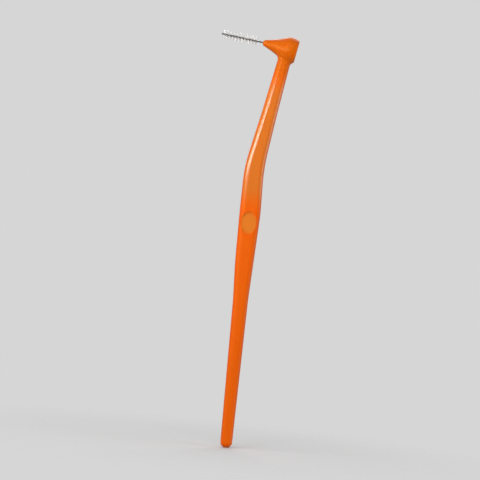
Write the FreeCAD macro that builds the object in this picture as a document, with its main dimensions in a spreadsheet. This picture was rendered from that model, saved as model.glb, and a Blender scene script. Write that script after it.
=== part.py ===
import FreeCAD, Part
import math
import os
import Sketcher

# An interdental brush with an angled handle, in millimetres.
# The handle's lower half runs along Z, with the grip's centre at the origin. Above the grip the neck leans
# towards +X, and the twisted wire leaves the head towards -X. The wide faces look along -Y and +Y.

Vector = FreeCAD.Vector

doc = FreeCAD.newDocument("interdental_brush")
sheet = doc.addObject("Spreadsheet::Sheet", "Sizes")

SIZES = [
    # handle, seen from the front: right is +X, and drops and rises are from the grip's centre
    ("handle_depth", 3.2, "front to back of the handle"),
    ("edge_round", 1.2, "rounding of the handle's long edges"),
    ("tail_drop", 52.9, "down to the end of the tail"),
    ("tail_width", 2.75, "width of the tail's end"),
    ("tail_lead", 1.32, "length of the tail's rounding each way from its corners"),
    ("stem_drop", 18.0, "down to the top of the slim stem"),
    ("stem_left", 1.85, "centreline to the left edge there"),
    ("stem_right", 1.7, "centreline to the right edge there"),
    ("heel_drop", 9.5, "down to the foot of the grip"),
    ("heel_left", 2.27, "centreline to the left edge there"),
    ("heel_right", 2.05, "centreline to the right edge there"),
    ("hip_rise", 2.0, "up to the hip of the grip"),
    ("hip_left", 2.4, "centreline to the left edge there"),
    ("hip_right", 2.55, "centreline to the right edge there"),
    ("bend_rise", 13.1, "up to the corner of the bent centreline"),
    ("bend_left", 2.35, "centreline to the left edge at the bend"),
    ("bend_right", 2.25, "centreline to the right edge at the bend"),
    ("stem_lead", 1.5, "length of the outline's curve each way from the top of the stem"),
    ("heel_lead", 2.2, "length of the outline's curve each way from the foot of the grip"),
    ("hip_lead", 2.2, "length of the outline's curve each way from the hip"),
    ("bend_lead", 3.7, "length of the outline's curve each way from the bend"),
    ("slim_lead", 1.0, "length of the outline's curve each way from the neck's slim place"),
    ("neck_lean_angle", 9.8, "lean of the neck from the stem, in degrees"),
    ("neck_length", 28.68, "corner of the bend to the head's axis, along the neck"),
    ("slim_rise", 13.0, "corner of the bend to the slim place, along the neck"),
    ("slim_width", 3.6, "width of the neck at the slim place"),
    ("throat_width", 2.95, "width of the neck at the head"),
    ("throat_round", 1.2, "hollow rounding between the neck and the underside of the cone"),
    ("rest_width", 3.6, "width of the oval finger rest"),
    ("rest_height", 5.2, "height of the oval finger rest"),
    ("rest_sink", 0.25, "depth of the finger rest"),
    # cone head, measured along its own axis from the neck's centreline
    ("head_rise_angle", 10.2, "angle of the head's axis above the horizontal, in degrees"),
    ("nose_length", 5.83, "to the nose's end"),
    ("nose_radius", 0.62, "radius of the nose's end"),
    ("nose_lead", 0.14, "length of the rounding each way from the nose's rim"),
    ("waist_length", 2.63, "to the hollow of the cone"),
    ("waist_radius", 1.72, "radius of the cone there"),
    ("waist_lead", 0.9, "length of the cone's hollow curve each way from there"),
    ("crown_setback", 0.27, "to the widest place of the head"),
    ("crown_radius", 3.22, "radius of the head's widest corner"),
    ("crown_lead", 1.1, "length of the rounding each way from that corner"),
    ("back_setback", 2.29, "to the flat back of the head"),
    ("back_radius", 2.7, "radius of the flat back"),
    ("back_lead", 0.35, "length of the rounding each way from the back's rim"),
    # twisted wire brush, measured along the wire's axis from the nose's end
    ("wire_rise_angle", 6.4, "angle of the wire above the horizontal, in degrees"),
    ("wire_reach", 10.0, "out to the folded tip of the wire"),
    ("wire_embed", 6.9, "in to the end of the wire's hole in the head"),
    ("steel_radius", 0.07, "radius of the bare steel wire"),
    ("coat_wall", 0.025, "thickness of the plastic coat"),
    ("twist_pitch", 1.5, "length of one full twist of the pair"),
    ("fold_radius", 0.4, "radius of the legs where they straighten into the fold"),
    ("bore_clearance", 0.005, "gap round the twisted pair in the head"),
    ("filament_radius", 0.0375, "radius of a filament"),
    ("filament_clearance", 0.002, "gap between a filament and each leg"),
    ("filament_spacing", 0.082, "distance from one filament to the next"),
    ("brush_diameter", 2.2, "diameter of the brush, tip to tip"),
    ("bare_root", 1.3, "out to the first filament"),
    ("bare_tip", 0.55, "last filament to the folded tip"),
]
for row, (alias, value, note) in enumerate(SIZES, start=1):
    sheet.set(f"A{row}", note)
    sheet.set(f"B{row}", str(value))
    sheet.setAlias(f"B{row}", alias)
doc.recompute()


def size(alias):
    return float(sheet.get(alias))


def value_of(expression):
    """What an expression comes to with the sheet's present numbers, in millimetres."""
    result = sheet.evalExpression(expression)
    return float(getattr(result, "Value", result))


def origin_plane(body, role):
    for feature in body.Origin.OriginFeatures:
        if feature.Role == role:
            return feature
    raise ValueError(role)


def new_sketch(body, name, x="0", y="0", z="0", turn="0"):
    """A sketch that looks along +Y, its X to the right and its Y up, moved and turned by expressions."""
    sketch = body.newObject("Sketcher::SketchObject", name)
    sketch.AttachmentSupport = [(origin_plane(body, "XZ_Plane"), "")]
    sketch.MapMode = "FlatFace"
    sketch.AttachmentOffset = FreeCAD.Placement(Vector(), FreeCAD.Rotation(Vector(0, 0, 1), 1))
    sketch.setExpression("AttachmentOffset.Base.x", x)
    sketch.setExpression("AttachmentOffset.Base.y", y)
    sketch.setExpression("AttachmentOffset.Base.z", z)
    sketch.setExpression("AttachmentOffset.Rotation.Angle", turn)
    return sketch


def bind(sketch, name, expression, *constraint):
    """Add a dimension to the sketch and tie it to the sheet."""
    index = sketch.addConstraint(Sketcher.Constraint(*constraint, value_of(expression)))
    sketch.renameConstraint(index, name)
    sketch.setExpression("Constraints." + name, expression)


def bind_place(sketch, name, geometry, point, x, y):
    """Tie a point of the sketch to its distances from the sketch's own origin."""
    for axis, expression in (("X", x), ("Y", y)):
        value = value_of(expression)
        label = name + "_" + axis.lower()
        if abs(value) < 1e-9:
            on_axis = -2 if axis == "X" else -1
            sketch.addConstraint(Sketcher.Constraint("PointOnObject", geometry, point, on_axis))
        elif value < 0:
            bind(sketch, label, f"-({expression})", "Distance" + axis, geometry, point, -1, 1)
        else:
            bind(sketch, label, expression, "Distance" + axis, -1, 1, geometry, point)


def corner_arc(sketch, entry, corner, exit):
    """The arc that rounds a corner, and whether it starts at the entry. A sketch's arcs run anticlockwise."""
    back = (entry - corner).normalize()
    ahead = (exit - corner).normalize()
    half_angle = back.getAngle(ahead) / 2
    radius = (entry - corner).Length * math.tan(half_angle)
    centre = corner + (back + ahead).normalize() * (radius / math.sin(half_angle))
    forward = (entry - centre).cross(exit - centre).z > 0
    ends = (entry, exit) if forward else (exit, entry)
    start_angle, end_angle = [math.atan2(end.y - centre.y, end.x - centre.x) for end in ends]
    if end_angle < start_angle:
        end_angle += 2 * math.pi
    circle = Part.Circle(centre, Vector(0, 0, 1), radius)
    return sketch.addGeometry(Part.ArcOfCircle(circle, start_angle, end_angle)), forward


def rounded_outline(sketch, corners):
    """A closed outline of straight runs through the named corners, with an arc at each that has a lead.

    A corner is (name, x, y, lead), and all but its name are expressions. The lead is how far from the corner
    the arc begins and ends. A rounded corner keeps its sharp point in the sketch, which holds the two runs.
    """
    count = len(corners)
    places = [Vector(value_of(x), value_of(y), 0) for _, x, y, _ in corners]
    entries, exits = [], []
    for index, place in enumerate(places):
        lead = corners[index][3]
        trim = value_of(lead) if lead else 0.0
        entries.append(place + (places[index - 1] - place).normalize() * trim)
        exits.append(place + (places[(index + 1) % count] - place).normalize() * trim)

    runs = []
    for index in range(count):
        run = Part.LineSegment(exits[index], entries[(index + 1) % count])
        runs.append(sketch.addGeometry(run))
    for index, (name, x, y, lead) in enumerate(corners):
        before, after = runs[index - 1], runs[index]
        if not lead:
            sketch.addConstraint(Sketcher.Constraint("Coincident", before, 2, after, 1))
            bind_place(sketch, name, after, 1, x, y)
            continue
        arc, forward = corner_arc(sketch, entries[index], places[index], exits[index])
        arc_start, arc_end = (1, 2) if forward else (2, 1)
        sketch.addConstraint(Sketcher.Constraint("Tangent", before, 2, arc, arc_start))
        sketch.addConstraint(Sketcher.Constraint("Tangent", arc, arc_end, after, 1))
        sharp = sketch.addGeometry(Part.Point(places[index]), True)
        for run in (before, after):
            sketch.addConstraint(Sketcher.Constraint("PointOnObject", sharp, 1, run))
        bind(sketch, name + "_lead", lead, "Distance", sharp, 1, arc, arc_start)
        bind_place(sketch, name, sharp, 1, x, y)


def check_cut(feature, before):
    """A cut that points away from the solid takes nothing off and shows no error."""
    doc.recompute()
    if feature.Shape.Volume >= before.Shape.Volume - 1e-6:
        raise ValueError(feature.Label + " cuts nothing")


# The centreline runs straight up Z to the bend's corner and then straight along the leaning neck, which meets
# the head's axis.
LEAN = "(Sizes.neck_lean_angle * 1deg)"


def neck_place(distance, sideways):
    """X and Z of a place on the neck, that far along it from the bend's corner and that far to its right."""
    x = f"({distance}) * sin({LEAN}) + ({sideways}) * cos({LEAN})"
    z = f"Sizes.bend_rise + ({distance}) * cos({LEAN}) - ({sideways}) * sin({LEAN})"
    return x, z


def edge_middle(edge):
    return edge.valueAt((edge.FirstParameter + edge.LastParameter) / 2)


def edges_where(shape, wanted):
    """Names of the edges of a shape for which wanted(edge) holds."""
    return [f"Edge{number}" for number, edge in enumerate(shape.Edges, start=1) if wanted(edge)]


def add_fillet(name, base, edges, radius):
    fillet = handle.newObject("PartDesign::Fillet", name)
    fillet.Base = (base, edges)
    fillet.setExpression("Radius", radius)
    doc.recompute()
    return fillet


# The handle is one moulding: a flat blank with rounded edges, from the tail's end up into the head.
# The tail's corners and the long edges are rounded no further than the walls between them allow.
TAIL_LEAD = "min(Sizes.tail_lead; 0.49 * Sizes.tail_width)"
SLIMMEST_WALL = "min(Sizes.handle_depth; Sizes.throat_width)"
EDGE_ROUND = f"min(Sizes.edge_round; 0.45 * {SLIMMEST_WALL}; 0.95 * {TAIL_LEAD})"
handle = doc.addObject("PartDesign::Body", "handle")
head_x, head_z = neck_place("Sizes.neck_length", "0")
nose_x = f"{head_x} - Sizes.nose_length * cos(Sizes.head_rise_angle * 1deg)"
nose_z = f"{head_z} + Sizes.nose_length * sin(Sizes.head_rise_angle * 1deg)"
outline = new_sketch(handle, "handle_outline")
rounded_outline(outline, [
    ("tail_left", "-Sizes.tail_width / 2", "-Sizes.tail_drop", TAIL_LEAD),
    ("tail_right", "Sizes.tail_width / 2", "-Sizes.tail_drop", TAIL_LEAD),
    ("stem_right", "Sizes.stem_right", "-Sizes.stem_drop", "Sizes.stem_lead"),
    ("heel_right", "Sizes.heel_right", "-Sizes.heel_drop", "Sizes.heel_lead"),
    ("hip_right", "Sizes.hip_right", "Sizes.hip_rise", "Sizes.hip_lead"),
    ("bend_right", "Sizes.bend_right", "Sizes.bend_rise", "Sizes.bend_lead"),
    ("slim_right", *neck_place("Sizes.slim_rise", "Sizes.slim_width / 2"), "Sizes.slim_lead"),
    ("throat_right", *neck_place("Sizes.neck_length", "Sizes.throat_width / 2"), None),
    ("throat_left", *neck_place("Sizes.neck_length", "-Sizes.throat_width / 2"), None),
    ("slim_left", *neck_place("Sizes.slim_rise", "-Sizes.slim_width / 2"), "Sizes.slim_lead"),
    ("bend_left", "-Sizes.bend_left", "Sizes.bend_rise", "Sizes.bend_lead"),
    ("hip_left", "-Sizes.hip_left", "Sizes.hip_rise", "Sizes.hip_lead"),
    ("heel_left", "-Sizes.heel_left", "-Sizes.heel_drop", "Sizes.heel_lead"),
    ("stem_left", "-Sizes.stem_left", "-Sizes.stem_drop", "Sizes.stem_lead"),
])
blank = handle.newObject("PartDesign::Pad", "blank")
blank.Profile = outline
blank.SideType = "Symmetric"
blank.setExpression("Length", "Sizes.handle_depth")
doc.recompute()


def on_long_edge(edge):
    """True on the front's and the back's outline, but for the short top edge that ends inside the head."""
    middle = edge_middle(edge)
    on_wide_face = abs(abs(middle.y) - size("handle_depth") / 2) < 1e-6
    inside_head = math.hypot(middle.x - value_of(head_x), middle.z - value_of(head_z)) < 1e-6
    return on_wide_face and not inside_head


add_fillet("long_edges", blank, edges_where(blank.Shape, on_long_edge), EDGE_ROUND)


# The cone head and the wire's hole are turned, each about its own axis. An outline's X runs back along that
# axis, from the nose towards the back of the head.
def add_turned(kind, name, x, z, rise, corners):
    sketch = new_sketch(handle, name + "_outline", x=x, y=z, turn=f"-{rise}")
    rounded_outline(sketch, corners)
    feature = handle.newObject(kind, name)
    feature.Profile = sketch
    feature.ReferenceAxis = (sketch, ["H_Axis"])
    feature.Angle = 360
    doc.recompute()
    return feature


head = add_turned("PartDesign::Revolution", "head", head_x, head_z, "Sizes.head_rise_angle", [
    ("nose_axis", "-Sizes.nose_length", "0", None),
    ("back_axis", "Sizes.back_setback", "0", None),
    ("back_rim", "Sizes.back_setback", "Sizes.back_radius", "Sizes.back_lead"),
    ("crown", "Sizes.crown_setback", "Sizes.crown_radius", "Sizes.crown_lead"),
    ("waist", "-Sizes.waist_length", "Sizes.waist_radius", "Sizes.waist_lead"),
    ("nose_rim", "-Sizes.nose_length", "Sizes.nose_radius", "Sizes.nose_lead"),
])
head_frame = head.Profile[0].Placement


def under_cone(edge):
    """True where the neck's front edge, towards the nose, runs into the underside of the cone."""
    kinds = {type(face.Surface) for face in head.Shape.ancestorsOfType(edge, Part.Face)}
    place = head_frame.inverse().multVec(edge_middle(edge))
    beside_neck = -size("nose_length") / 2 < place.x < -size("throat_width") / 4
    on_head = math.hypot(place.y, place.z) < size("crown_radius")
    return beside_neck and on_head and len(kinds & {Part.Plane, Part.Cylinder}) == 1


throat = add_fillet("throat", head, edges_where(head.Shape, under_cone), "Sizes.throat_round")

# An oval finger rest with a flat floor is sunk into each wide face of the grip.
cut_before = throat
for name, side in (("front_rest", 1), ("back_rest", -1)):
    floor = f"{side} * (Sizes.handle_depth / 2 - Sizes.rest_sink)"
    rest_sketch = new_sketch(handle, name + "_outline", z=floor)
    half_height = size("rest_height") / 2
    half_width = size("rest_width") / 2
    oval = Part.Ellipse(Vector(0, half_height, 0), Vector(half_width, 0, 0), Vector(0, 0, 0))
    rest_sketch.addGeometry(oval)
    rest_sketch.exposeInternalGeometry(0)
    long_axis, short_axis = 1, 2
    rest_sketch.addConstraint(Sketcher.Constraint("Coincident", 0, 3, -1, 1))
    rest_sketch.addConstraint(Sketcher.Constraint("Vertical", long_axis))
    bind(rest_sketch, "tall", "Sizes.rest_height", "Distance", long_axis)
    bind(rest_sketch, "wide", "Sizes.rest_width", "Distance", short_axis)
    rest = handle.newObject("PartDesign::Pocket", name)
    rest.Profile = rest_sketch
    rest.Reversed = side > 0
    rest.setExpression("Length", "Sizes.rest_sink")
    check_cut(rest, cut_before)
    cut_before = rest

# The wire's legs lie on each side of the filaments, and the hole takes the twisted pair.
COATED_RADIUS = "(Sizes.steel_radius + Sizes.coat_wall)"
LEG_OFFSET = f"({COATED_RADIUS} + Sizes.filament_radius + Sizes.filament_clearance)"
BORE_RADIUS = f"({LEG_OFFSET} + {COATED_RADIUS} + Sizes.bore_clearance)"
bore = add_turned("PartDesign::Groove", "wire_bore", nose_x, nose_z, "Sizes.wire_rise_angle", [
    ("mouth_axis", f"-{BORE_RADIUS}", "0", None),
    ("end_axis", "Sizes.wire_embed", "0", None),
    ("end_wall", "Sizes.wire_embed", BORE_RADIUS, None),
    ("mouth_wall", f"-{BORE_RADIUS}", BORE_RADIUS, None),
])
check_cut(bore, cut_before)
handle.Tip = bore

# The wire brush is laid out along its own Z, from the cut ends in the head to the folded tip, with the nose's
# end at Z = 0, and is then set on the hole's axis.
bore_frame = bore.Profile[0].Placement
wire_direction = bore_frame.Rotation.multVec(Vector(-1, 0, 0))
WIRE_PLACEMENT = FreeCAD.Placement(bore_frame.Base, FreeCAD.Rotation(Vector(0, 0, 1), wire_direction))

coated_radius = value_of(COATED_RADIUS)
leg_offset = value_of(LEG_OFFSET)
turn_rate = 2 * math.pi / size("twist_pitch")
twist_slope = math.atan(leg_offset * turn_rate)


def arc_edge(start, tangent, end):
    """The circular arc that leaves start along tangent and reaches end."""
    chord = end - start
    along = Vector(chord).normalize()
    across = tangent - along * tangent.dot(along)
    half_turn = math.atan2(across.Length, tangent.dot(along))
    bulge = Vector(across).normalize() * (chord.Length / 2 * math.tan(half_turn / 2))
    return Part.Arc(start, (start + end) * 0.5 + bulge, end).toShape()


def biarc(start, start_tangent, end, end_tangent):
    """Two arcs that meet smoothly, between two places with given directions."""
    chord = end - start
    both = start_tangent + end_tangent
    spread = 2 * (1 - start_tangent.dot(end_tangent))
    lead = chord.dot(both)
    reach = (math.sqrt(lead * lead + spread * chord.dot(chord)) - lead) / spread
    middle = (start + end + (start_tangent - end_tangent) * reach) * 0.5
    middle_tangent = (chord - both * reach).normalize()
    return [arc_edge(start, start_tangent, middle), arc_edge(middle, middle_tangent, end)]


def twist_place(height, phase):
    """A place on a leg of the twist, the leg's direction there, and the direction along the filaments."""
    turn = height * turn_rate + phase
    place = Vector(leg_offset * math.cos(turn), leg_offset * math.sin(turn), height)
    across = Vector(-math.sin(turn), math.cos(turn), 0)
    tangent = Vector(0, 0, 1) * math.cos(twist_slope) + across * math.sin(twist_slope)
    return place, tangent, across


# Near the tip each leg straightens out of the twist on a short arc, so that the two run side by side into a
# half circle. Below that the twist is made of equal steps, none over a quarter turn. The cut ends lean with
# the legs, and their lowest edge stands clear of the hole's end.
straighten_rise = size("fold_radius") * math.sin(twist_slope)
straighten_shift = size("fold_radius") * (1 - math.cos(twist_slope))
half_fold = math.hypot(leg_offset, straighten_shift)
twist_top = size("wire_reach") - coated_radius - half_fold - straighten_rise
twist_bottom = coated_radius * math.sin(twist_slope) + size("bore_clearance") - size("wire_embed")
step_count = math.ceil((twist_top - twist_bottom) / (size("twist_pitch") / 4))
step = (twist_top - twist_bottom) / step_count


def leg_edges(phase):
    """One leg from its cut end up to the fold, and the place where it ends."""
    edges = []
    for index in range(step_count):
        start, start_tangent, _ = twist_place(twist_bottom + index * step, phase)
        end, end_tangent, _ = twist_place(twist_bottom + (index + 1) * step, phase)
        edges += biarc(start, start_tangent, end, end_tangent)
    top, top_tangent, across = twist_place(twist_top, phase)
    leg_end = top + Vector(0, 0, straighten_rise) + across * straighten_shift
    edges.append(arc_edge(top, top_tangent, leg_end))
    return edges, leg_end


first_leg, first_end = leg_edges(0)
second_leg, second_end = leg_edges(math.pi)
fold_top = (first_end + second_end) * 0.5 + Vector(0, 0, half_fold)
fold = Part.Arc(first_end, fold_top, second_end).toShape()
wire_path = doc.addObject("Part::Feature", "wire_path")
wire_path.Shape = Part.Wire(first_leg + [fold] + second_leg[::-1])
wire_path.Placement = WIRE_PLACEMENT
cut_end, cut_direction, _ = twist_place(twist_bottom, 0)
cut_face = FreeCAD.Placement(cut_end, FreeCAD.Rotation(Vector(0, 0, 1), cut_direction))


def swept_wire(name, radius):
    """A round wire of the given radius all along the wire's path."""
    section = doc.addObject("Part::Circle", name + "_section")
    section.setExpression("Radius", radius)
    section.Placement = WIRE_PLACEMENT * cut_face
    sweep = doc.addObject("Part::Sweep", name)
    sweep.Sections = [section]
    sweep.Spine = wire_path
    sweep.Solid = True
    sweep.Frenet = False
    return sweep


core_wire = swept_wire("core_wire", "Sizes.steel_radius")
coated_wire = swept_wire("coated_wire", COATED_RADIUS)
wire_coating = doc.addObject("Part::Cut", "wire_coating")
wire_coating.Base = coated_wire
wire_coating.Tool = core_wire

# Each filament lies between the two legs and sticks out on both sides, turning with the twist.
brush_length = size("wire_reach") - size("bare_root") - size("bare_tip")
filament_count = int(brush_length / size("filament_spacing")) + 1
filament_solids = []
for index in range(filament_count):
    height = size("bare_root") + index * size("filament_spacing")
    _, _, across = twist_place(height, 0)
    tip = Vector(0, 0, height) - across * (size("brush_diameter") / 2)
    filament_solids.append(Part.makeCylinder(size("filament_radius"), size("brush_diameter"), tip, across))
filaments = doc.addObject("Part::Feature", "filaments")
filaments.Shape = Part.makeCompound(filament_solids)
filaments.Placement = WIRE_PLACEMENT
doc.recompute()

for item in doc.Objects:
    if "Invalid" in item.State or "Error" in item.State:
        raise ValueError(item.Label + " failed: " + item.getStatusString())
SUB_PARTS = [handle, core_wire, wire_coating, filaments]
for part in SUB_PARTS:
    if part.Shape.isNull() or not part.Shape.isValid() or not part.Shape.Solids:
        raise ValueError(part.Label + " has no valid solid")
os.makedirs("parts", exist_ok=True)
for part in SUB_PARTS:
    part.Shape.exportStep(f"parts/{part.Label}.step")
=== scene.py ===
import math
import random
import bpy
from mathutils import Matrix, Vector


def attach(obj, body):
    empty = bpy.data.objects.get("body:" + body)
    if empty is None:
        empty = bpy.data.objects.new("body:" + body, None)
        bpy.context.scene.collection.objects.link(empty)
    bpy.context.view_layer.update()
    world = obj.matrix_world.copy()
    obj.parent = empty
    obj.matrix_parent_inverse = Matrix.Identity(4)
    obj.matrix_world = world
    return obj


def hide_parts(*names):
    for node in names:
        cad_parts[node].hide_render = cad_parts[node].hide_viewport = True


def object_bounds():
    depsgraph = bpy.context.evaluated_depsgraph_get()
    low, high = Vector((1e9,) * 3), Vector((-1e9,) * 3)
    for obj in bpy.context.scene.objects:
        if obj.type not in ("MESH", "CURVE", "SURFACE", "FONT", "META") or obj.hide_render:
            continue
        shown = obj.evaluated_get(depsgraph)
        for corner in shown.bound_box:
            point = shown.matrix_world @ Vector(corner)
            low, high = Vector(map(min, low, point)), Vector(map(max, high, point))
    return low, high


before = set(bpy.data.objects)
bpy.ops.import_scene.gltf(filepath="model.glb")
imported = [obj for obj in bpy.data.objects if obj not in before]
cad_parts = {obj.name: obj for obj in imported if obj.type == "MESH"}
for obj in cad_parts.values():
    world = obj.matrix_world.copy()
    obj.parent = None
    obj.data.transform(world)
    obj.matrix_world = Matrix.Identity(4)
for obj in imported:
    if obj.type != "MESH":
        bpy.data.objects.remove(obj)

cad_low, cad_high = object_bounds()


# Core wire: one drawn stainless steel wire, folded double at the tip and twisted, with both cut ends moulded
# into the head. The coat hides all of it but those ends, and fine die lines run along it.
class Signal:
    """An output of a node. Sums written with it add Math nodes, and add() puts in any other node."""

    def __init__(self, tree, socket=None):
        self.tree = tree
        self.socket = socket

    def add(self, kind, settings, sockets, output=0):
        node = self.tree.nodes.new("ShaderNode" + kind)
        for name, value in settings.items():
            setattr(node, name, value)
        feed(node, sockets)
        return Signal(self.tree, node.outputs[output])

    def sum(self, operation, first, second):
        return self.add("Math", {"operation": operation}, {0: first, 1: second})

    def ease(self, start, end):
        """Goes smoothly from 0 to 1 as this value goes from start to end."""
        sockets = {"Value": self, "From Min": start, "From Max": end}
        return self.add("MapRange", {"interpolation_type": "SMOOTHSTEP"}, sockets)

    def blend(self, first, second):
        """The first colour where this value is 0, and the second where it is 1."""
        return self.add("Mix", {"data_type": "RGBA"}, {0: self, 6: first, 7: second}, output=2)

    def __add__(self, other):
        return self.sum("ADD", self, other)

    def __radd__(self, other):
        return self.sum("ADD", other, self)

    def __sub__(self, other):
        return self.sum("SUBTRACT", self, other)

    def __rsub__(self, other):
        return self.sum("SUBTRACT", other, self)

    def __mul__(self, other):
        return self.sum("MULTIPLY", self, other)

    def __rmul__(self, other):
        return self.sum("MULTIPLY", other, self)

    def __abs__(self):
        return self.sum("ABSOLUTE", self, 0.0)


def feed(node, sockets):
    """Link each signal, and set each plain value, on the node's own socket."""
    for name, value in sockets.items():
        if isinstance(value, Signal):
            node.id_data.links.new(value.socket, node.inputs[name])
        else:
            node.inputs[name].default_value = value


MM_PER_METRE = 1000.0


def new_finish(name):
    """A new material, and the place on the surface in millimetres from the grip's centre."""
    finish = bpy.data.materials.new(name)
    finish.use_nodes = True
    place = Signal(finish.node_tree).add("TexCoord", {}, {}, output="Object")
    return finish, place.add("VectorMath", {"operation": "SCALE"}, {0: place, "Scale": MM_PER_METRE})


def grain(place, size, detail=2.0):
    """Smooth random shades whose patches are about this many millimetres across."""
    return place.add("TexNoise", {}, {"Vector": place, "Scale": 1 / size, "Detail": detail})


def raised(height, depth):
    """A bump whose full height is this many millimetres."""
    return height.add("Bump", {}, {"Height": height, "Distance": depth / MM_PER_METRE, "Strength": 1.0})


def set_shader(finish, sockets):
    feed(finish.node_tree.nodes["Principled BSDF"], sockets)


NOSE_END_MM = (-0.857, 0.0, 42.394)
WIRE_RISE_DEGREES = 6.4
WIRE_TURN = math.radians(WIRE_RISE_DEGREES - 90)
STEEL = (0.46, 0.45, 0.43, 1)
STEEL_LINE = (0.38, 0.37, 0.36, 1)
DIE_LINE_WIDTH_MM = 0.02
DIE_LINE_STRETCH = 40


def along_wire(place, stretch):
    """The place measured from the nose's end with Z out along the wire, and drawn out along it."""
    turned = {"Location": NOSE_END_MM, "Rotation": (0, WIRE_TURN, 0), "Scale": (1, 1, stretch)}
    return place.add("Mapping", {"vector_type": "TEXTURE"}, {"Vector": place, **turned})


steel, place = new_finish("drawn_steel")
die_lines = grain(along_wire(place, DIE_LINE_STRETCH), DIE_LINE_WIDTH_MM)
set_shader(steel, {
    "Base Color": die_lines.blend(STEEL_LINE, STEEL),
    "Metallic": 1.0,
    "Roughness": 0.22 + 0.16 * die_lines,
    "Normal": raised(die_lines, 0.001),
})
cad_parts["core_wire"].material_slots[0].material = steel


# Wire coating: a thin dark grey plastic coat all along the core wire, up to its two cut ends. It is drawn on
# before the wire is twisted, so it is satin, with faint lines along the wire and a few pale scuffs.
COAT_GREY = (0.058, 0.048, 0.042, 1)
COAT_SCUFF = (0.1, 0.092, 0.088, 1)
DRAW_LINE_WIDTH_MM = 0.03
DRAW_LINE_STRETCH = 12
SCUFF_SIZE_MM = 0.35
coat, place = new_finish("grey_coat")
draw_lines = grain(along_wire(place, DRAW_LINE_STRETCH), DRAW_LINE_WIDTH_MM)
scuffs = grain(place, SCUFF_SIZE_MM, detail=4.0).ease(0.5, 0.75)
set_shader(coat, {
    "Base Color": scuffs.blend(COAT_GREY, COAT_SCUFF),
    "Roughness": 0.3 + 0.12 * draw_lines + 0.15 * scuffs,
    "Normal": raised(draw_lines, 0.002),
})
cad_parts["wire_coating"].material_slots[0].material = coat


# Filaments: pale nylon monofilaments, each gripped at its middle between the two legs of the wire, so their
# rows wind round it. Clear of the wire they splay a little, and their cut ends are rounded.
FILAMENT_RADIUS = 0.0000375
FILAMENT_LENGTH = 0.0022
FILAMENT_COUNT = 100
FILAMENT_SIDES = 6
FILAMENT_CUTS = 7
FILAMENT_END_ROUND = 0.5 * FILAMENT_RADIUS
FIRST_FILAMENT = 0.0013
FILAMENT_SPACING = 0.000082
TWIST_PITCH = 0.0015
GRIPPED_HALF = 0.0002
SPLAY = math.radians(6)
LEAN = math.radians(4)
TRIM = 0.04


def start_piece():
    """Back to object mode with nothing selected, so that the next operator touches only what it makes."""
    if bpy.context.object and bpy.context.object.mode == "EDIT":
        bpy.ops.object.mode_set(mode="OBJECT")
    bpy.ops.object.select_all(action="DESELECT")


def select_in_edit(piece, vertices=None, edges=None):
    """Go into edit mode with only the vertices or edges selected for which the test holds."""
    bpy.ops.object.mode_set(mode="EDIT")
    bpy.ops.mesh.select_mode(type="VERT" if vertices else "EDGE")
    bpy.ops.mesh.select_all(action="DESELECT")
    bpy.ops.object.mode_set(mode="OBJECT")
    mesh = piece.data
    if vertices:
        for vertex in mesh.vertices:
            vertex.select = vertices(vertex.co)
    else:
        for edge in mesh.edges:
            edge.select = edges(*(mesh.vertices[number].co for number in edge.vertices))
    bpy.ops.object.mode_set(mode="EDIT")


start_piece()
bpy.ops.mesh.primitive_cylinder_add(
    vertices=FILAMENT_SIDES, radius=FILAMENT_RADIUS, depth=FILAMENT_LENGTH, rotation=(0, math.pi / 2, 0)
)
bpy.ops.object.transform_apply()
filament = bpy.context.object
select_in_edit(filament, edges=lambda one, two: one.x * two.x < 0)
bpy.ops.mesh.subdivide(number_cuts=FILAMENT_CUTS)
select_in_edit(filament, edges=lambda one, two: min(abs(one.x), abs(two.x)) > FILAMENT_LENGTH / 2 - 1e-6)
bpy.ops.mesh.bevel(offset=FILAMENT_END_ROUND, segments=1)
bpy.ops.object.mode_set(mode="OBJECT")
bpy.ops.object.shade_smooth_by_angle(angle=math.radians(60))

chance = random.Random(11)
copies = []
for number in range(FILAMENT_COUNT):
    start_piece()
    filament.select_set(True)
    bpy.context.view_layer.objects.active = filament
    bpy.ops.object.duplicate()
    copy = bpy.context.object
    copies.append(copy)
    for side in (1, -1):
        select_in_edit(copy, vertices=lambda spot: spot.x * side > GRIPPED_HALF)
        knee = (side * GRIPPED_HALF, 0, 0)
        trim = 1 - TRIM * chance.random()
        bpy.ops.transform.resize(value=(trim, 1, 1), center_override=knee)
        bpy.ops.transform.rotate(value=chance.gauss(0, SPLAY), orient_axis="Z", center_override=knee)
        bpy.ops.transform.rotate(value=chance.gauss(0, LEAN), orient_axis="Y", center_override=knee)
    bpy.ops.object.mode_set(mode="OBJECT")
    height = FIRST_FILAMENT + number * FILAMENT_SPACING
    copy.rotation_euler.z = 2 * math.pi * height / TWIST_PITCH + math.pi / 2
    copy.location.z = height

start_piece()
bpy.data.objects.remove(filament)
for copy in copies:
    copy.select_set(True)
bpy.context.view_layer.objects.active = copies[0]
bpy.ops.object.transform_apply()
bpy.ops.object.join()
filaments = bpy.context.object
filaments.name = "nylon_filaments"
filaments.rotation_euler.y = WIRE_TURN
filaments.location = [value / MM_PER_METRE for value in NOSE_END_MM]
bpy.ops.object.transform_apply()

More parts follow.
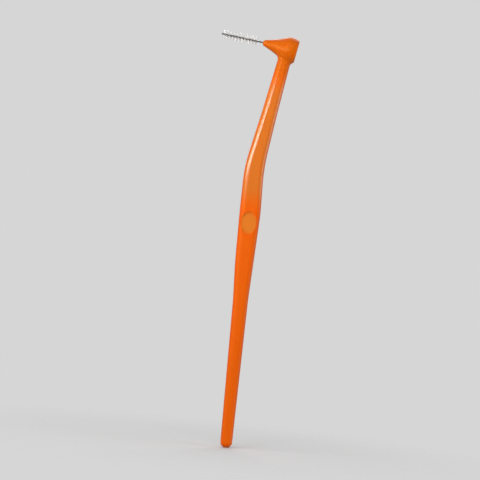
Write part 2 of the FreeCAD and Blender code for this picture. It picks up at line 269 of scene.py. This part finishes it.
CLOUD_SIZE_MM = 0.12
# Painted shade: a darker grey for the filaments close to the wire, where they shade one another.
NYLON_SHADE = (0.41, 0.39, 0.37, 1)
NYLON = (0.68, 0.67, 0.65, 1)
nylon, place = new_finish("pale_nylon")
from_nose = along_wire(place, 1)
across = from_nose.add("VectorMath", {"operation": "MULTIPLY"}, {0: from_nose, 1: (1, 1, 0)})
reach = across.add("VectorMath", {"operation": "LENGTH"}, {0: across}, output="Value")
cloudy = grain(place, CLOUD_SIZE_MM)
# Painted shade: the filaments turn darker towards the wire, and paler away from it.
set_shader(nylon, {
    "Base Color": (0.85 * reach.ease(0.2, 0.5) + 0.15 * cloudy).blend(NYLON_SHADE, NYLON),
    "Roughness": 0.28 + 0.18 * cloudy,
    "IOR": 1.53,
    "Subsurface Weight": 1.0,
    "Subsurface Radius": (1.0, 1.0, 1.0),
    "Subsurface Scale": 0.0001,
    "Normal": raised(cloudy, 0.002),
})
filaments.data.materials.append(nylon)
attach(filaments, "root")
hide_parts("filaments")


# Handle: one orange polypropylene moulding, with a tail, a grip with two finger rests, a bent neck and a cone
# head. Its skin is satin and a little translucent, the neck comes polished from the mould, and the two rests
# are spark-textured to a matt finish. The head is toned a little yellower. The neck's front carries a painted
# sheen, a golden orange that stands in for the light along it.
ORANGE = (0.67, 0.09, 0.0, 1)
ORANGE_STREAK = (0.7, 0.102, 0.0, 1)
# Painted sheen: the golden orange laid on the neck's front for the light along it.
PAINTED_SHEEN_ORANGE = (0.58, 0.128, 0.0, 1)
HEAD_ORANGE = (0.55, 0.096, 0.0, 1)
MATT_ORANGE = (0.62, 0.16, 0.014, 1)
REST_HALF_WIDTH_MM = 1.8
REST_HALF_HEIGHT_MM = 2.6
REST_RIM = (0.97, 1.0)
REST_FLOOR_MM = (1.35, 1.38)
POLISH_START_MM = (3, 9)
POLISH_END_MM = (30, 36)
POLISH_FLANK_MM = (0.7, 1.25)
HEAD_START_MM = (32, 38)
FRONT_SHEEN_MM = (-0.5, 0.5)
FLOW_STREAK_WIDTH_MM = 1.6
FLOW_STREAK_SQUEEZE = (1, 1, 0.12)
SPARK_SIZE_MM = 0.07
PEEL_SIZE_MM = 0.9
PARTING_LINE_MM = (0.01, 0.05)
SKIN_RELIEF_MM = 0.012
plastic, place = new_finish("orange_plastic")
depth, along = [place.add("SeparateXYZ", {}, {0: place}, output=axis) for axis in "YZ"]
drawn_out = place.add("Mapping", {}, {"Vector": place, "Scale": FLOW_STREAK_SQUEEZE})
streaks = grain(drawn_out, FLOW_STREAK_WIDTH_MM, detail=3.0)
rest_size = (REST_HALF_WIDTH_MM, 1e6, REST_HALF_HEIGHT_MM)
oval = place.add("VectorMath", {"operation": "DIVIDE"}, {0: place, 1: rest_size})
oval = oval.add("VectorMath", {"operation": "LENGTH"}, {0: oval}, output="Value")
rest_floor = (1 - oval.ease(*REST_RIM)) * (1 - abs(depth).ease(*REST_FLOOR_MM))
spark_texture = grain(place, SPARK_SIZE_MM, detail=3.0)
orange_peel = grain(place, PEEL_SIZE_MM, detail=1.0)
parting_line = 1 - abs(depth).ease(*PARTING_LINE_MM)
polish = along.ease(*POLISH_START_MM) * (1 - along.ease(*POLISH_END_MM)) * abs(depth).ease(*POLISH_FLANK_MM)
unpolished = along.ease(*HEAD_START_MM).blend(streaks.blend(ORANGE, ORANGE_STREAK), HEAD_ORANGE)
# Painted sheen: the neck's front, between the grip and the head, is toned golden orange for the light along
# it; the back of the neck keeps the plain orange.
front = 1 - depth.ease(*FRONT_SHEEN_MM)
skin_colour_and_sheen = (polish * front).blend(unpolished, PAINTED_SHEEN_ORANGE)
skin = 0.25 * orange_peel + 0.1 * spark_texture + 0.5 * parting_line
set_shader(plastic, {
    "Base Color": rest_floor.blend(skin_colour_and_sheen, MATT_ORANGE),
    "Roughness": 0.4 + 0.06 * streaks + 0.2 * rest_floor + 0.08 * parting_line,
    "Specular IOR Level": 0.35,
    "Specular Tint": (1.0, 0.6, 0.2, 1),
    "Coat Weight": 0.8 * polish,
    "Coat Roughness": 0.18,
    "Subsurface Weight": 0.25,
    "Subsurface Radius": (1.0, 0.3, 0.05),
    "Subsurface Scale": 0.0006,
    "Normal": raised(skin + rest_floor * spark_texture, SKIN_RELIEF_MM),
})
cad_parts["handle"].material_slots[0].material = plastic


# Nose bead: a low collar of the same plastic, which the melt leaves round the wire where it comes out of the
# nose's end. It is moulded in one with the head and closes the hole round the twisted pair.
BEAD_RADIUS = 0.00037
BEAD_STAND = 0.00013
BEAD_SINK = 0.00012
BEAD_ROUND = 0.8 * BEAD_STAND
BEAD_SIDES = 32
start_piece()
bpy.ops.mesh.primitive_cylinder_add(
    vertices=BEAD_SIDES,
    radius=BEAD_RADIUS,
    depth=BEAD_STAND + BEAD_SINK,
    location=(0, 0, (BEAD_STAND - BEAD_SINK) / 2),
)
bpy.ops.object.transform_apply()
bead = bpy.context.object
bead.name = "nose_bead"
select_in_edit(bead, edges=lambda one, two: min(one.z, two.z) > BEAD_STAND - 1e-7)
bpy.ops.mesh.bevel(offset=BEAD_ROUND, segments=4)
bpy.ops.object.mode_set(mode="OBJECT")
bpy.ops.object.shade_smooth_by_angle(angle=math.radians(50))
bead.rotation_euler.y = WIRE_TURN
bead.location = [value / MM_PER_METRE for value in NOSE_END_MM]
bpy.ops.object.transform_apply()
bead.data.materials.append(plastic)
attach(bead, "root")


# Floor: a plain pale sheet under the tail that carries the brush's soft shadow.
# It fades out with distance, so that no edge or horizon shows behind the brush.
PALE_GREY = (0.672, 0.672, 0.672, 1)
FLOOR_GREY = (0.57, 0.57, 0.57, 1)
FLOOR_RADIUS = 0.3
FLOOR_FADE_MM = (20, 90)
start_piece()
bpy.ops.mesh.primitive_circle_add(
    vertices=96, radius=FLOOR_RADIUS, fill_type="NGON", location=(0, 0, cad_low.z)
)
bpy.ops.object.transform_apply()
floor = bpy.context.object
floor.name = "floor"
sheet, place = new_finish("pale_floor")
level = place.add("VectorMath", {"operation": "MULTIPLY"}, {0: place, 1: (1, 1, 0)})
from_middle = level.add("VectorMath", {"operation": "LENGTH"}, {0: level}, output="Value")
set_shader(sheet, {
    "Base Color": FLOOR_GREY,
    "Roughness": 0.9,
    "Specular IOR Level": 0.0,
    "Alpha": 1 - from_middle.ease(*FLOOR_FADE_MM),
})
floor.data.materials.append(sheet)


# Studio: an even pale surround, a key softbox beside the neck that draws the streak along its left edge, a
# large soft light in front and above, one like it behind, and a weaker one at the right.
SURROUND_FILL = 0.38
KEY_SPREAD = math.radians(110)
world = bpy.data.worlds.new("studio")
bpy.context.scene.world = world
world.use_nodes = True
seen, through = [
    Signal(world.node_tree).add("LightPath", {}, {}, output=name)
    for name in ("Is Camera Ray", "Is Transmission Ray")
]
shown = seen.sum("MAXIMUM", seen, through)
fill = (SURROUND_FILL, SURROUND_FILL, SURROUND_FILL, 1)
feed(world.node_tree.nodes["Background"], {"Color": shown.blend(fill, PALE_GREY), "Strength": 1.0})


def add_softbox(name, place, aim, width, height, power, spread=math.pi):
    lamp = bpy.data.lights.new(name, "AREA")
    lamp.shape = "RECTANGLE"
    lamp.size = width
    lamp.size_y = height
    lamp.energy = power
    lamp.spread = spread
    softbox = bpy.data.objects.new(name, lamp)
    softbox.location = place
    softbox.rotation_euler = (Vector(aim) - Vector(place)).to_track_quat("-Z", "Y").to_euler()
    bpy.context.scene.collection.objects.link(softbox)


add_softbox("key_softbox", (-0.133, -0.149, 0.046), (0, 0, 0.046), 0.24, 0.034, 0.185, KEY_SPREAD)
add_softbox("top_softbox", (-0.03, -0.32, 0.26), (0, 0, 0), 0.3, 0.3, 0.58)
add_softbox("right_softbox", (0.25, -0.03, 0.03), (0, 0, 0), 0.2, 0.2, 0.27)
add_softbox("back_softbox", (0.03, 0.32, 0.26), (0, 0, 0), 0.3, 0.3, 0.85)


# Camera: square to the front of the brush, as in the photograph, with a long lens from over half a metre.
# It is turned a little, so that the straight lower handle leans to the right on its way up.
LENS = 180
VIEW_HEIGHT = 0.1125
ROLL = math.radians(-5.85)
view = bpy.data.cameras.new("camera")
view.lens = LENS
camera = bpy.data.objects.new("camera", view)
distance = VIEW_HEIGHT * LENS / view.sensor_width
camera.location = (cad_low + cad_high) / 2 + Vector((0, -distance, 0))
camera.rotation_euler = (math.pi / 2, ROLL, 0)
bpy.context.scene.collection.objects.link(camera)
bpy.context.scene.camera = camera
bpy.context.scene.view_settings.view_transform = "Standard"
